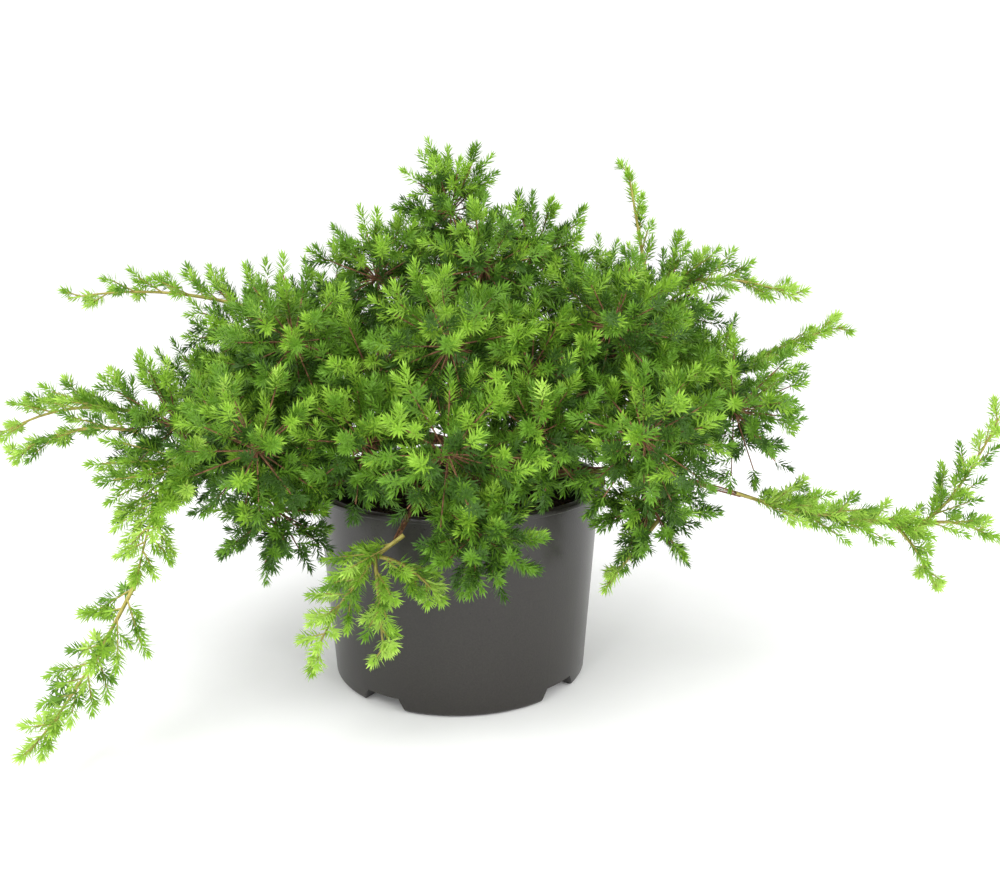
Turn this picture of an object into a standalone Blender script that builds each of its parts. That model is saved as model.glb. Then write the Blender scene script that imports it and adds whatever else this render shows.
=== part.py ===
"""A dwarf Japanese garden juniper in its round nursery pot.

The pot, the soil and the trunk stand on the Z axis. The crown is built in tiers of
cushions round the trunk, with a few longer plumes that reach out of it. Each mass of
foliage is one closed body: a stem, a small dense core, and sprays of needles.
Metres, +Z up, the front of the plant towards -Y.
"""
import math
import random

import bpy
import bmesh
import numpy as np
from mathutils import Vector

GAP = 0.0003
SEED = 11

# Pot: a turned thin wall with a lip, standing on a foot ring with four drain pockets
LIP_RADIUS = 0.0950
LIP_THICK = 0.0030
POT_HEIGHT = 0.1276
WALL_TOP_RADIUS = 0.0916
WALL_BASE_RADIUS = 0.0830
WALL = 0.0018
FLOOR = 0.0020
BASE_ROUND = 0.0030
EDGE_ROUND = 0.0005
POT_SIDES = 40
POCKET_FACING = (8.7, 188.7)
POCKET_HALF_TURN = 41.8
POCKET_HALF_WIDTH = 0.0175
POCKET_TOP_HALF_WIDTH = 0.0120
POCKET_HEIGHT = 0.0085
POCKET_REACH = 0.0520
DRAIN_HOLE_RADIUS = 0.0040
DRAIN_HOLE_REACH = 0.0610

# Soil: fills the pot to a little below its lip
SOIL_TOP = 0.1020
SOIL_EDGE_DROP = 0.0020
SOIL_CROWN_RADIUS = 0.0300
SOIL_SIDES = POT_SIDES

# Trunk: flared foot, slight lean and sway, up to the crown's spire
TRUNK_FOOT_RADIUS = 0.0082
TRUNK_TIP_RADIUS = 0.0026
TRUNK_TIP = Vector((-0.002, 0.012, 0.2600))
TRUNK_SWAY = 0.0045
FLARE = 0.0050
FLARE_HEIGHT = 0.0100
FLARE_ROOTS = 5
FLUTE = 0.22
TRUNK_SIDES = 7
TRUNK_RINGS = 9

# Boughs
BOUGH_ROOT_RADIUS = 0.0029
BOUGH_TIP_RADIUS = 0.0017
BOUGH_SIDES = 4
BOUGH_RINGS = 6
ROOT_SHIFTS = [step * 0.003 * side for step in range(12) for side in (1, -1)]

# Foliage
CORE_SHARE = 0.50
STEM_RADIUS = 0.0015
SPRAY_CORE = 0.075
SPRAY_WIDTH = 0.30
WIDEST_SPRAY = 0.0070
OWN_OVERLAP = 0.60
WELD = 0.000002
SPRAY_SUNK = 0.55
SHORT_SPRAY = 0.55
CLEARANCE = 0.0006
GROUND_CLEARANCE = 0.0030

# Tiers of cushions: count, first heading in degrees, reach along X and Y, height,
# width, the height of the limb's root on the trunk, and whether a bough carries them
TIERS = {
    "crown": dict(count=4, first=20, reach=(0.052, 0.044), height=0.262, radius=0.036,
                  root=0.205, bough=False),
    "shoulder": dict(count=8, first=0, reach=(0.127, 0.100), height=0.229, radius=0.040,
                     root=0.160, bough=False),
    "skirt": dict(count=10, first=18, reach=(0.176, 0.140), height=0.176, radius=0.042,
                  root=0.129, bough=True),
}
TIER_TILT = 0.008
ROOT_STAGGER = 0.010
SPIRE = dict(centre=(-0.004, 0.012, 0.297), size=(0.026, 0.026, 0.044))

# Low cushions that hang over the pot's lip, by heading in degrees
LOW_HEADINGS = (60, 150, 226, 276, 324)
LOW_REACH = (0.141, 0.134)
LOW_HEIGHT = 0.133
LOW_RADIUS = 0.030
LOW_ROOT = 0.111

# Sprays on each cushion
CUSHION_SPRAYS = 8
SPIRE_SPRAYS = 9
LOW_SPRAYS = 6

# Plumes that leave a cushion: the mass that carries it, the plume's root and tip, how far
# its middle lifts above the straight line, side shoots, and the first and last one's length
PLUMES = (
    dict(mass="mass_skirt_6", root=(-0.190, -0.040, 0.178), tip=(-0.292, -0.030, 0.156),
         lift=0.012, shoots=5, longest=0.040, shortest=0.020),
    dict(mass="mass_skirt_6", root=(-0.195, -0.050, 0.170), tip=(-0.268, -0.050, 0.152),
         lift=0.008, shoots=4, longest=0.030, shortest=0.016),
    dict(mass="mass_shoulder_5", root=(-0.140, 0.004, 0.240), tip=(-0.249, 0.010, 0.243),
         lift=0.006, shoots=5, longest=0.030, shortest=0.012),
    dict(mass="mass_shoulder_1", root=(0.130, -0.004, 0.252), tip=(0.215, 0.000, 0.243),
         lift=0.008, shoots=5, longest=0.032, shortest=0.012),
    dict(mass="mass_shoulder_1", root=(0.118, 0.006, 0.262), tip=(0.106, 0.010, 0.324),
         lift=0.000, shoots=5, longest=0.018, shortest=0.009),
    dict(mass="mass_skirt_1", root=(0.186, 0.036, 0.192), tip=(0.255, 0.030, 0.223),
         lift=0.004, shoots=5, longest=0.030, shortest=0.012),
    dict(mass="mass_low_5", root=(0.116, -0.076, 0.118), tip=(0.092, -0.072, 0.082),
         lift=0.000, shoots=3, longest=0.020, shortest=0.012),
    dict(mass="mass_skirt_2", root=(0.120, 0.124, 0.180), tip=(0.188, 0.196, 0.150),
         lift=0.014, shoots=4, longest=0.036, shortest=0.014),
    dict(mass="mass_skirt_4", root=(-0.118, 0.124, 0.180), tip=(-0.164, 0.206, 0.176),
         lift=0.012, shoots=4, longest=0.036, shortest=0.014),
    dict(mass="mass_skirt_3", root=(0.004, 0.150, 0.180), tip=(0.012, 0.222, 0.134),
         lift=0.018, shoots=4, longest=0.034, shortest=0.014),
)

# Plumes that are masses of their own: where the bough enters them, and their branches,
# each from its root on to its tip, with the same sizes as above
OWN_PLUMES = {
    "mass_drooping_plume": dict(
        entry=(-0.150, -0.074, 0.158), heading_root=0.119,
        branches=(
            dict(root=(-0.1503, -0.0744, 0.1581), tip=(-0.170, -0.128, 0.098), lift=0.020,
                 shoots=6, longest=0.048, shortest=0.036),
            dict(root=(-0.170, -0.126, 0.102), tip=(-0.221, -0.162, 0.020), lift=-0.006,
                 shoots=5, longest=0.034, shortest=0.012),
        )),
    "mass_long_plume": dict(
        entry=(0.176, -0.046, 0.128), heading_root=0.121,
        branches=(
            dict(root=(0.1763, -0.0461, 0.1279), tip=(0.300, -0.034, 0.107), lift=-0.006,
                 shoots=9, longest=0.040, shortest=0.028),
            dict(root=(0.290, -0.035, 0.107), tip=(0.340, -0.030, 0.190), lift=-0.014,
                 shoots=5, longest=0.026, shortest=0.014),
            dict(root=(0.272, -0.037, 0.107), tip=(0.301, -0.042, 0.066), lift=0.004,
                 shoots=4, longest=0.020, shortest=0.012),
            dict(root=(0.296, -0.034, 0.107), tip=(0.338, -0.030, 0.096), lift=0.004,
                 shoots=3, longest=0.020, shortest=0.012),
        )),
    "mass_front_clump": dict(
        entry=(-0.030, -0.122, 0.124), heading_root=0.119,
        branches=(
            dict(root=(-0.0302, -0.1223, 0.1238), tip=(-0.078, -0.134, 0.054), lift=0.010,
                 shoots=5, longest=0.034, shortest=0.020),
            dict(root=(-0.040, -0.128, 0.112), tip=(-0.036, -0.134, 0.064), lift=0.000,
                 shoots=4, longest=0.024, shortest=0.016),
            dict(root=(-0.036, -0.126, 0.116), tip=(-0.006, -0.136, 0.098), lift=0.004,
                 shoots=3, longest=0.022, shortest=0.014),
        )),
}
LEADER_RADIUS = 0.0015
LEADER_TIP_RADIUS = 0.0006
SHOOT_SPREAD = 50
GOLDEN_TURN = math.radians(137.5)


def clear_scene():
    for item in list(bpy.data.objects):
        bpy.data.objects.remove(item, do_unlink=True)


def finish(name, colour, roughness):
    material = bpy.data.materials.new(name)
    material.use_nodes = True
    shader = material.node_tree.nodes["Principled BSDF"]
    shader.inputs["Base Color"].default_value = (*colour, 1.0)
    shader.inputs["Roughness"].default_value = roughness
    shader.inputs["Metallic"].default_value = 0.0
    return material


def add_object(name, points, faces, material=None):
    mesh = bpy.data.meshes.new(name)
    mesh.from_pydata([tuple(point) for point in points], [], faces)
    if material:
        mesh.materials.append(material)
    item = bpy.data.objects.new(name, mesh)
    bpy.context.scene.collection.objects.link(item)
    return item


def smooth(item, angle=40):
    item.data.shade_smooth()
    item.data.set_sharp_from_angle(angle=math.radians(angle))


def as_cutter(item):
    item.hide_render = True
    item.display_type = "WIRE"
    return item


def cut(item, cutter):
    modifier = item.modifiers.new("cut_" + cutter.name, "BOOLEAN")
    modifier.operation = "DIFFERENCE"
    modifier.solver = "EXACT"
    modifier.object = cutter


def arc(centre, radius, start, stop, steps):
    """Points of an arc in the (radius, height) plane, angles in degrees."""
    angles = np.radians(np.linspace(start, stop, steps + 1))
    return [(centre[0] + radius * math.cos(a), centre[1] + radius * math.sin(a)) for a in angles]


def turned(name, profile, sides, material=None, waviness=None):
    """A closed body turned round Z from (radius, height) points, bottom axis point first."""
    points = []
    rings = []
    for radius, height in profile:
        if radius == 0.0:
            rings.append([len(points)] * sides)
            points.append((0.0, 0.0, height))
            continue
        rings.append(list(range(len(points), len(points) + sides)))
        for side in range(sides):
            heading = 2 * math.pi * side / sides
            lift = waviness(radius, heading) if waviness else 0.0
            points.append((radius * math.cos(heading), radius * math.sin(heading), height + lift))
    faces = []
    for low, high in zip(rings, rings[1:]):
        for side in range(sides):
            after = (side + 1) % sides
            corners = [low[side], low[after], high[after], high[side]]
            faces.append(list(dict.fromkeys(corners)))
    return add_object(name, points, faces, material)


# Pot

def wall_radius(height):
    """The outer wall's radius at a height."""
    return WALL_BASE_RADIUS + (WALL_TOP_RADIUS - WALL_BASE_RADIUS) * height / POT_HEIGHT


def pocket_headings():
    return [facing + side * POCKET_HALF_TURN for facing in POCKET_FACING for side in (-1, 1)]


def pocket_block(name, heading, grow, bottom):
    """A drain pocket's block: a trapezium in section, from its reach out through the wall."""
    reach = POCKET_REACH - grow
    far = WALL_BASE_RADIUS + 0.010
    top = POCKET_HEIGHT + grow
    section = [(-POCKET_HALF_WIDTH - grow, bottom), (POCKET_HALF_WIDTH + grow, bottom),
               (POCKET_TOP_HALF_WIDTH + grow, top), (-POCKET_TOP_HALF_WIDTH - grow, top)]
    turn = math.radians(heading - 90)
    out = Vector((math.cos(turn), math.sin(turn), 0))
    along = Vector((-math.sin(turn), math.cos(turn), 0))
    points = [out * depth + along * side + Vector((0, 0, height))
              for depth in (reach, far) for side, height in section]
    faces = [(3, 2, 1, 0), (4, 5, 6, 7)]
    faces += [(i, (i + 1) % 4, 4 + (i + 1) % 4, 4 + i) for i in range(4)]
    return as_cutter(add_object(name, points, faces))


def merged_cutter(name, items):
    """One cutter from several that stand apart."""
    points = []
    faces = []
    for item in items:
        start = len(points)
        points += [vertex.co.copy() for vertex in item.data.vertices]
        faces += [[start + i for i in face.vertices] for face in item.data.polygons]
        bpy.data.objects.remove(item, do_unlink=True)
    return as_cutter(add_object(name, points, faces))


def pockets(name, grow, bottom):
    blocks = [pocket_block(f"{name}_{n}", heading, grow, bottom)
              for n, heading in enumerate(pocket_headings(), 1)]
    return merged_cutter(name, blocks)


def drain_holes():
    """Round cutters up through the roofs of the four pockets."""
    low = POCKET_HEIGHT / 2
    high = POCKET_HEIGHT + 3 * WALL
    items = []
    for n, heading in enumerate(pocket_headings(), 1):
        hole = turned(f"drain_hole_{n}", [(0.0, low), (DRAIN_HOLE_RADIUS, low),
                                          (DRAIN_HOLE_RADIUS, high), (0.0, high)], 10)
        turn = math.radians(heading - 90)
        shift = Vector((math.cos(turn), math.sin(turn), 0)) * DRAIN_HOLE_REACH
        for vertex in hole.data.vertices:
            vertex.co += shift
        items.append(hole)
    return merged_cutter("drain_holes", items)


def make_pot(material):
    under_lip = POT_HEIGHT - LIP_THICK
    wall_under_lip = wall_radius(under_lip)
    outer = [(0.0, 0.0)]
    outer += arc((WALL_BASE_RADIUS - BASE_ROUND, BASE_ROUND), BASE_ROUND, -90, 0, 4)
    outer += [(wall_radius(POT_HEIGHT / 2), POT_HEIGHT / 2), (wall_under_lip, under_lip)]
    outer += [(LIP_RADIUS - EDGE_ROUND, under_lip), (LIP_RADIUS, under_lip + EDGE_ROUND)]
    outer += [(LIP_RADIUS, POT_HEIGHT - EDGE_ROUND), (LIP_RADIUS - EDGE_ROUND, POT_HEIGHT)]
    inner_top = WALL_TOP_RADIUS - WALL
    outer += [(inner_top, POT_HEIGHT), (0.0, POT_HEIGHT)]
    pot = turned("pot", outer, POT_SIDES, material)
    inner_base = WALL_BASE_RADIUS - WALL
    over = 0.001
    slope = (inner_top - inner_base) / (POT_HEIGHT - FLOOR)
    cavity_profile = [(0.0, FLOOR)]
    cavity_profile += arc((inner_base - BASE_ROUND, FLOOR + BASE_ROUND), BASE_ROUND, -90, 0, 2)
    cavity_profile += [(inner_top, POT_HEIGHT), (inner_top + slope * over, POT_HEIGHT + over)]
    cavity_profile += [(0.0, POT_HEIGHT + over)]
    cavity = as_cutter(turned("pot_cavity", cavity_profile, POT_SIDES))
    cut(cavity, pockets("pocket_roofs", WALL, -WALL))
    cut(pot, cavity)
    cut(pot, pockets("pocket_hollows", 0.0, -WALL))
    cut(pot, drain_holes())
    smooth(pot)
    return pot


def make_soil(material):
    """Soil that stands on the roofs of the drain pockets, clear of the wall."""
    inner_base = WALL_BASE_RADIUS - WALL - GAP
    inner_top = WALL_TOP_RADIUS - WALL - GAP
    slope = (inner_top - inner_base) / (POT_HEIGHT - FLOOR)
    foot = POCKET_HEIGHT + WALL + GAP
    edge = SOIL_TOP - SOIL_EDGE_DROP
    edge_radius = inner_base + slope * (edge - FLOOR) - 2 * GAP
    step = (edge_radius - SOIL_CROWN_RADIUS) / 3

    def unevenness(radius, heading):
        between = SOIL_CROWN_RADIUS + step / 2 < radius < edge_radius - step / 2
        return 0.0008 * math.sin(5 * heading + radius * 90) if between else 0.0

    profile = [(0.0, foot), (inner_base - 2 * GAP, foot), (edge_radius, edge),
               (SOIL_CROWN_RADIUS + 2 * step, SOIL_TOP - SOIL_EDGE_DROP / 2),
               (SOIL_CROWN_RADIUS + step, SOIL_TOP - SOIL_EDGE_DROP / 4),
               (SOIL_CROWN_RADIUS, SOIL_TOP), (0.0, SOIL_TOP)]
    return turned("soil", profile, SOIL_SIDES, material, unevenness)


# Limbs

def lerp(a, b, t):
    return a + (b - a) * t


def side_axes(direction):
    """Two axes square to a direction, so that the three turn the right-handed way."""
    guide = Vector((0, 0, 1)) if abs(direction.z) < 0.9 else Vector((1, 0, 0))
    first = direction.cross(guide).normalized()
    return first, direction.cross(first)


def tube(path, radii, sides, swell=None):
    """Points and faces of a closed tapering tube along a path."""
    points = []
    for n, centre in enumerate(path):
        before = path[max(n - 1, 0)]
        after = path[min(n + 1, len(path) - 1)]
        direction = (after - before).normalized()
        if n == 0:
            first, second = side_axes(direction)
        else:
            first = (first - direction * first.dot(direction)).normalized()
            second = direction.cross(first)
        for side in range(sides):
            angle = 2 * math.pi * side / sides
            radius = radii[n] * (swell(n, angle) if swell else 1.0)
            points.append(centre + radius * (math.cos(angle) * first + math.sin(angle) * second))
    faces = [list(range(sides))[::-1]]
    for ring in range(len(path) - 1):
        for side in range(sides):
            after = (side + 1) % sides
            low = ring * sides
            high = low + sides
            faces.append([low + side, low + after, high + after, high + side])
    faces.append(list(range((len(path) - 1) * sides, len(path) * sides)))
    return points, faces


def curve(start, middle, end, rings):
    """Points along a quadratic curve."""
    return [start * (1 - t) ** 2 + middle * 2 * t * (1 - t) + end * t * t
            for t in np.linspace(0, 1, rings)]


def trunk_centre(height):
    foot = SOIL_TOP + GAP
    t = (height - foot) / (TRUNK_TIP.z - foot)
    sway = TRUNK_SWAY * math.sin(2 * math.pi * t)
    return Vector((TRUNK_TIP.x * t + sway, TRUNK_TIP.y * t - sway * 0.5, height))


def trunk_radius(height):
    foot = SOIL_TOP + GAP
    t = (height - foot) / (TRUNK_TIP.z - foot)
    return lerp(TRUNK_FOOT_RADIUS, TRUNK_TIP_RADIUS, t) + FLARE * math.exp((foot - height) / FLARE_HEIGHT)


def make_trunk(material):
    foot = SOIL_TOP + GAP
    heights = [foot + (TRUNK_TIP.z - foot) * (n / TRUNK_RINGS) ** 1.4 for n in range(TRUNK_RINGS + 1)]
    points = []
    for height in heights:
        centre = trunk_centre(height)
        spread = math.exp((foot - height) / FLARE_HEIGHT)
        for side in range(TRUNK_SIDES):
            angle = 2 * math.pi * side / TRUNK_SIDES
            radius = trunk_radius(height) * (1 + FLUTE * spread * math.cos(FLARE_ROOTS * angle / 2) ** 2)
            points.append(centre + radius * Vector((math.cos(angle), math.sin(angle), 0)))
    faces = [list(range(TRUNK_SIDES))[::-1]]
    for ring in range(TRUNK_RINGS):
        for side in range(TRUNK_SIDES):
            after = (side + 1) % TRUNK_SIDES
            low = ring * TRUNK_SIDES
            high = low + TRUNK_SIDES
            faces.append([low + side, low + after, high + after, high + side])
    faces.append(list(range(TRUNK_RINGS * TRUNK_SIDES, (TRUNK_RINGS + 1) * TRUNK_SIDES)))
    trunk = add_object("trunk", points, faces, material)
    smooth(trunk)
    for low, high in zip(heights, heights[1:]):
        take("trunk", trunk_centre(low), trunk_centre(high), trunk_radius(low))
    return trunk


def seat_on_trunk(height, towards, radius):
    """Where a limb of this radius starts beside the trunk, just clear of it."""
    centre = trunk_centre(height)
    out = Vector((towards.x - centre.x, towards.y - centre.y, 0)).normalized()
    flute = 1 + FLUTE * math.exp((SOIL_TOP - height) / FLARE_HEIGHT)
    offset = trunk_radius(height - radius) * flute + (trunk_centre(height + radius) - centre).length - radius
    return centre + out * (offset + 2 * GAP), out


# Space: what each limb and spray takes up, as segments with a radius

taken = {"owner": [], "start": [], "end": [], "radius": [], "spray": []}


def take(owner, start, end, radius, is_spray=False):
    taken["owner"].append(owner)
    taken["start"].append(tuple(start))
    taken["end"].append(tuple(end))
    taken["radius"].append(radius)
    taken["spray"].append(is_spray)


def is_free(owner, start, end, radius, apart=False, limb=False):
    """True when a piece stays clear of every other node, the pot and the ground."""
    samples = np.array([tuple(lerp(start, end, t)) for t in np.linspace(0, 1, 7)])
    if samples[:, 2].min() < radius * 0.6 + GROUND_CLEARANCE:
        return False
    inside = np.hypot(samples[:, 0], samples[:, 1]) < LIP_RADIUS + radius + CLEARANCE
    if not limb and np.any(inside & (samples[:, 2] < POT_HEIGHT + radius + CLEARANCE)):
        return False
    own = np.array([name == owner for name in taken["owner"]])
    sprays = np.array(taken["spray"])
    others = ~own | (sprays & apart)
    if limb:
        others &= np.array([name.startswith("bough") for name in taken["owner"]])
    if not others.any():
        return True
    ease = np.where(own, OWN_OVERLAP, 1.0)[others]
    a = np.array(taken["start"])[others]
    b = np.array(taken["end"])[others]
    r = np.array(taken["radius"])[others]
    along = b - a
    length = np.maximum((along ** 2).sum(1), 1e-12)
    offset = samples[:, None, :] - a[None]
    t = np.clip((offset * along[None]).sum(2) / length, 0, 1)
    distance = np.linalg.norm(offset - t[..., None] * along[None], axis=2)
    return bool((distance > (r + radius + CLEARANCE)[None] * ease[None]).all())


# Sprays, cores and masses

def spray(root, tip, spin):
    """A slim three-sided core with three needles standing out of it."""
    axis = tip - root
    length = axis.length
    direction = axis / length
    first, second = side_axes(direction)
    width = min(SPRAY_WIDTH, WIDEST_SPRAY / length)
    core_share = min(SPRAY_CORE, WIDEST_SPRAY / length / 3)

    def at(share, radius, turn):
        angle = spin + turn
        return root + axis * share + length * radius * (math.cos(angle) * first + math.sin(angle) * second)

    third = 2 * math.pi / 3
    points = [at(0.0, core_share * 0.8, n * third) for n in range(3)]
    points += [at(0.52, core_share, n * third) for n in range(3)]
    points += [root + axis]
    points += [at(0.80, width, (n + 0.5) * third) for n in range(3)]
    faces = [[2, 1, 0]]
    for n in range(3):
        after = (n + 1) % 3
        low = [n, after, 3 + after, 3 + n]
        faces += [[low[i], low[(i + 1) % 4], 7 + n] for i in range(4)]
        faces.append([3 + n, 3 + after, 6])
    return points, faces


def core(centre, size, rng):
    """A small uneven ball, the dense heart of a cushion."""
    shape = bmesh.new()
    bmesh.ops.create_icosphere(shape, subdivisions=1, radius=1.0)
    points = [centre + Vector((v.co.x * size.x, v.co.y * size.y, v.co.z * size.z)) * rng.uniform(0.88, 1.08)
              for v in shape.verts]
    faces = [[v.index for v in face.verts] for face in shape.faces]
    shape.free()
    return points, faces


def outer_body(mesh):
    """Keeps a mesh's largest connected body; True when that is one clean closed body."""
    shape = bmesh.new()
    shape.from_mesh(mesh)
    bmesh.ops.triangulate(shape, faces=shape.faces)
    bmesh.ops.remove_doubles(shape, verts=shape.verts, dist=WELD)
    left = set(shape.faces)
    bodies = []
    while left:
        front = [left.pop()]
        body = list(front)
        while front:
            face = front.pop()
            for edge in face.edges:
                for other in edge.link_faces:
                    if other in left:
                        left.remove(other)
                        front.append(other)
                        body.append(other)
        bodies.append(body)
    bodies.sort(key=len)
    scraps = [face for body in bodies[:-1] for face in body]
    bmesh.ops.delete(shape, geom=scraps, context="FACES")
    clean = all(edge.is_manifold for edge in shape.edges) and all(v.is_manifold for v in shape.verts)
    shape.to_mesh(mesh)
    shape.free()
    return clean


def united(name, pieces, solver):
    """The mesh of one Boolean union on a collection of closed pieces, and if it is clean."""
    group = bpy.data.collections.new(name + "_pieces")
    items = [add_object(f"{name}_piece_{n}", *piece) for n, piece in enumerate(pieces)]
    base = items[0]
    for item in items[1:]:
        group.objects.link(item)
    union = base.modifiers.new("union", "BOOLEAN")
    union.operation = "UNION"
    union.operand_type = "COLLECTION"
    union.collection = group
    union.solver = solver
    evaluated = base.evaluated_get(bpy.context.evaluated_depsgraph_get())
    mesh = bpy.data.meshes.new_from_object(evaluated)
    for item in items:
        bpy.data.objects.remove(item, do_unlink=True)
    bpy.data.collections.remove(group)
    return mesh, outer_body(mesh)


def join(name, pieces, material):
    """One body from many closed pieces; a union that fails both ways gets fewer sprays."""
    while len(pieces) > 2:
        mesh, clean = united(name, pieces, "MANIFOLD")
        if not clean:
            mesh, clean = united(name, pieces, "EXACT")
        if clean:
            break
        pieces = pieces[:-1] if len(pieces) > 3 else pieces[:-2] + pieces[-1:]
    mesh.name = name
    mesh.materials.clear()
    mesh.materials.append(material)
    result = bpy.data.objects.new(name, mesh)
    bpy.context.scene.collection.objects.link(result)
    return result


def sphere_directions(count, rng):
    """Evenly spread directions over a ball, turned by chance."""
    spin = rng.uniform(0, 2 * math.pi)
    directions = []
    for n in range(count):
        height = 1 - 2 * (n + 0.5) / count
        flat = math.sqrt(1 - height * height)
        angle = n * GOLDEN_TURN + spin
        directions.append(Vector((flat * math.cos(angle), flat * math.sin(angle), height)))
    return directions


def in_own_cell(name, point, cells):
    """True when a point lies nearer this cushion than any other, by their power distance."""
    def power(cell):
        offset = point - cell["centre"]
        return offset.length_squared - cell["radius"] ** 2
    own = power(cells[name])
    return all(own <= power(cell) for other, cell in cells.items() if other != name)


def add_spray(owner, pieces, root, tip, rng, apart=False):
    """Adds a spray where its space is free, shortened if need be."""
    for share in (1.0, 0.8, SHORT_SPRAY):
        end = lerp(root, tip, share)
        length = (end - root).length
        start = lerp(root, end, 0.35)
        width = min(length * SPRAY_WIDTH, WIDEST_SPRAY)
        if is_free(owner, start, end, width, apart):
            pieces.append(spray(root, end, rng.uniform(0, 2 * math.pi)))
            take(owner, start, end, width, is_spray=True)
            return True
    return False


def plume_pieces(owner, plume, rng):
    """A leader that arches from its root to its tip, with forward shoots on all sides."""
    root = Vector(plume["root"])
    tip = Vector(plume["tip"])
    middle = (root + tip) / 2 + Vector((0, 0, 2 * plume["lift"]))
    path = curve(root, middle, tip, 6)
    radii = [lerp(LEADER_RADIUS, LEADER_TIP_RADIUS, n / 5) for n in range(6)]
    pieces = [tube(path, radii, 3)]
    for a, b in zip(path, path[1:]):
        take(owner, a, b, LEADER_RADIUS)
    end_direction = (path[-1] - path[-2]).normalized()
    add_spray(owner, pieces, tip - end_direction * plume["shortest"], tip, rng)
    shoots = plume["shoots"]
    for n in range(shoots):
        t = lerp(0.12, 0.88, n / max(shoots - 1, 1))
        place = root * (1 - t) ** 2 + middle * 2 * t * (1 - t) + tip * t * t
        direction = ((middle - root) * (1 - t) + (tip - middle) * t).normalized()
        first, second = side_axes(direction)
        turn = n * math.pi + rng.uniform(-0.5, 0.5)
        sideways = math.cos(turn) * first + abs(math.sin(turn)) * Vector((0, 0, 0.4))
        sideways += second * rng.uniform(-0.7, 0.7)
        spread = math.radians(SHOOT_SPREAD + rng.uniform(-10, 10))
        heading = direction * math.cos(spread) + sideways.normalized() * math.sin(spread)
        length = lerp(plume["longest"], plume["shortest"], n / max(shoots - 1, 1))
        add_spray(owner, pieces, place, place + heading * length * rng.uniform(0.85, 1.1), rng)
    return pieces


def cushion_pieces(name, cell, sprays, cells, rng):
    """A dense core with sprays that stand out of it all round."""
    size = cell["size"]
    centre = cell["centre"]
    heart = size * CORE_SHARE
    pieces = [core(centre, heart, rng)]
    for direction in sphere_directions(sprays, rng):
        jitter = Vector((rng.uniform(-1, 1), rng.uniform(-1, 1), rng.uniform(-1, 1)))
        out = (direction + jitter * 0.16 + Vector((0, 0, 0.12))).normalized()
        surface = Vector((out.x * size.x, out.y * size.y, out.z * size.z))
        root = centre + surface * CORE_SHARE * SPRAY_SUNK
        for share in (1.0, 0.85, 0.72):
            tip = centre + surface * share * rng.uniform(0.94, 1.04)
            if in_own_cell(name, tip, cells) and add_spray(name, pieces, root, tip, rng, apart=True):
                break
    return pieces


# Laying out the crown

def lay_out_cushions(rng):
    """Centre and size of every cushion, by tier."""
    cells = {}
    spire_size = Vector(SPIRE["size"])
    cells["mass_spire"] = dict(centre=Vector(SPIRE["centre"]), size=spire_size, radius=spire_size.x,
                               sprays=SPIRE_SPRAYS, tier="spire")
    for tier, plan in TIERS.items():
        for n in range(plan["count"]):
            angle = math.radians(plan["first"] + 360 * n / plan["count"])
            centre = Vector((plan["reach"][0] * math.cos(angle), plan["reach"][1] * math.sin(angle),
                             plan["height"] + TIER_TILT * math.cos(angle) + rng.uniform(-0.003, 0.003)))
            radius = plan["radius"]
            cells[f"mass_{tier}_{n + 1}"] = dict(centre=centre, size=Vector((radius,) * 3), radius=radius,
                                                 sprays=CUSHION_SPRAYS, tier=tier,
                                                 root=plan["root"] + ROOT_STAGGER * (n % 2))
    for n, heading in enumerate(LOW_HEADINGS, 1):
        angle = math.radians(heading)
        centre = Vector((LOW_REACH[0] * math.cos(angle), LOW_REACH[1] * math.sin(angle), LOW_HEIGHT))
        cells[f"mass_low_{n}"] = dict(centre=centre, size=Vector((LOW_RADIUS,) * 3), radius=LOW_RADIUS,
                                      sprays=LOW_SPRAYS, tier="low", root=LOW_ROOT)
    return cells


def limb_path(start, out, end, rings):
    """A limb's curve from the trunk: out and up first, and over the pot's lip."""
    reach = (end - start).length
    middle = start + out * reach * 0.45
    middle.z = max(lerp(start.z, end.z, 0.5), start.z + 0.3 * (end.z - start.z))
    if math.hypot(end.x, end.y) > LIP_RADIUS and end.z < 0.170:
        middle.z = max(middle.z, POT_HEIGHT + 0.026)
    return curve(start, middle, end, rings)


def make_bough(name, root_height, end, material):
    """One tapering limb from the trunk to where it enters its mass."""
    for shift in ROOT_SHIFTS:
        start, out = seat_on_trunk(root_height + shift, end, BOUGH_ROOT_RADIUS)
        path = limb_path(start, out, end, BOUGH_RINGS)
        path[1] = start + out * (path[1] - start).length * 0.7
        limbs_clear = [is_free(name, a, b, BOUGH_ROOT_RADIUS, limb=True)
                       for a, b in zip(path[1:], path[2:])]
        if all(limbs_clear) and start.z > SOIL_TOP + 2 * BOUGH_ROOT_RADIUS:
            break
    else:
        print(name, "has no free way")
    radii = [lerp(BOUGH_ROOT_RADIUS, BOUGH_TIP_RADIUS, n / (BOUGH_RINGS - 1)) for n in range(BOUGH_RINGS)]
    bough = add_object(name, *tube(path, radii, BOUGH_SIDES), material)
    smooth(bough, 60)
    for a, b in zip(path, path[1:]):
        take(name, a, b, BOUGH_ROOT_RADIUS)
    return (path[-1] - path[-2]).normalized()


def stem_piece(owner, start, direction, centre):
    """A mass's stem, from just past its bough's tip into its core."""
    root = start + direction * GAP
    bend = root + direction * 0.004
    path = [root, bend, lerp(bend, centre, 0.5), centre]
    for a, b in zip(path, path[1:]):
        take(owner, a, b, STEM_RADIUS)
    return tube(path, [STEM_RADIUS * 1.05, STEM_RADIUS, STEM_RADIUS, STEM_RADIUS * 0.8], 4)


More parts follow.
